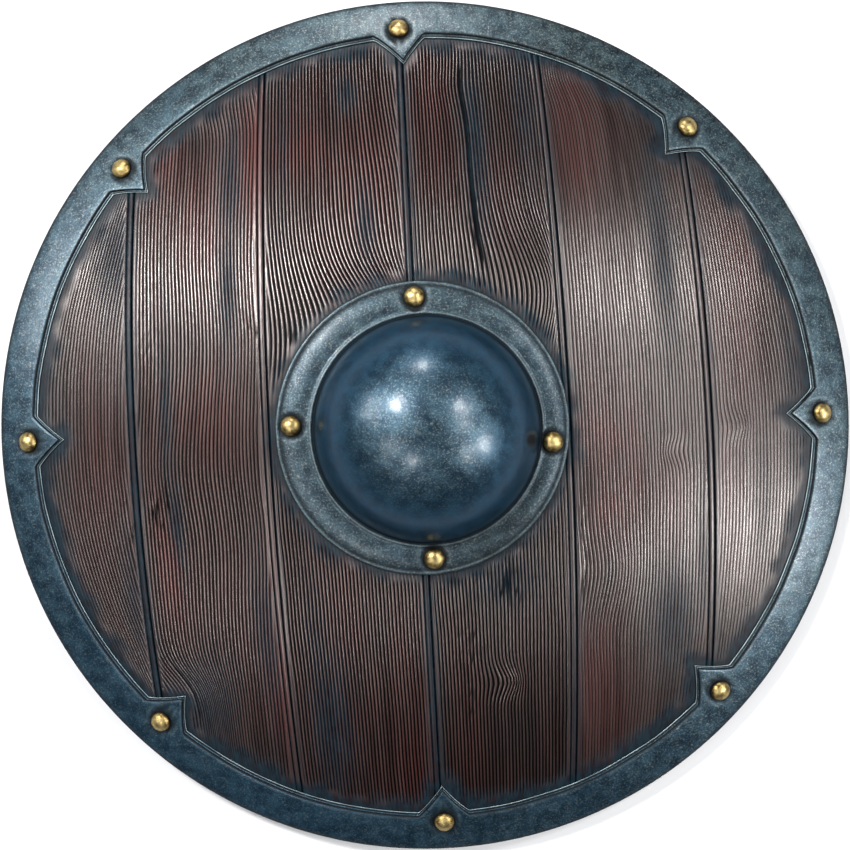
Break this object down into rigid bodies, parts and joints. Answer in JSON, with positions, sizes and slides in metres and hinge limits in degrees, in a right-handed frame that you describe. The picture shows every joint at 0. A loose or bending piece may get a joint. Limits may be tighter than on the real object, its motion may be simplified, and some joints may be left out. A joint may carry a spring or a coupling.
{
  "type": "wooden round shield",
  "caption": "Round domed shield of stained wooden planks with a cusped iron rim, a hollow iron boss over the hand hole, brass rivets and a grip behind.",
  "frame": {"origin": "on the shield's axis, in the plane of the flat foot under the rim that it lies on", "axes": "+Z out of the face, through the boss; +Y along the planks, towards the top of the shield; +X to the right of someone facing the shield"},
  "size_m": [0.6, 0.6, 0.1396],
  "materials": {
    "stained_wood": "dark purple-brown stained wood with a combed raised grain, semi-gloss, blue-black glaze beside the iron",
    "plain_wood": "plain oiled brown wood, satin",
    "blued_iron": "hammered iron with a blue-grey patina, pale flecks and worn edges",
    "rivet_brass": "pale brass, lightly tarnished and scratched"
  },
  "bodies": {
    "root": {"plank_1": "stained_wood", "plank_2": "stained_wood", "plank_3": "stained_wood", "plank_4": "stained_wood", "plank_5": "stained_wood", "plank_6": "stained_wood", "rim": "blued_iron", "boss": "blued_iron", "grip_batten": "plain_wood", "upper_cross_batten": "plain_wood", "lower_cross_batten": "plain_wood", "rim_rivet_right": "rivet_brass", "rim_rivet_upper_right": "rivet_brass", "rim_rivet_top": "rivet_brass", "rim_rivet_upper_left": "rivet_brass", "rim_rivet_left": "rivet_brass", "rim_rivet_lower_left": "rivet_brass", "rim_rivet_bottom": "rivet_brass", "rim_rivet_lower_right": "rivet_brass", "boss_rivet_right": "rivet_brass", "boss_rivet_top": "rivet_brass", "boss_rivet_left": "rivet_brass", "boss_rivet_bottom": "rivet_brass"}
  },
  "joints": []
}
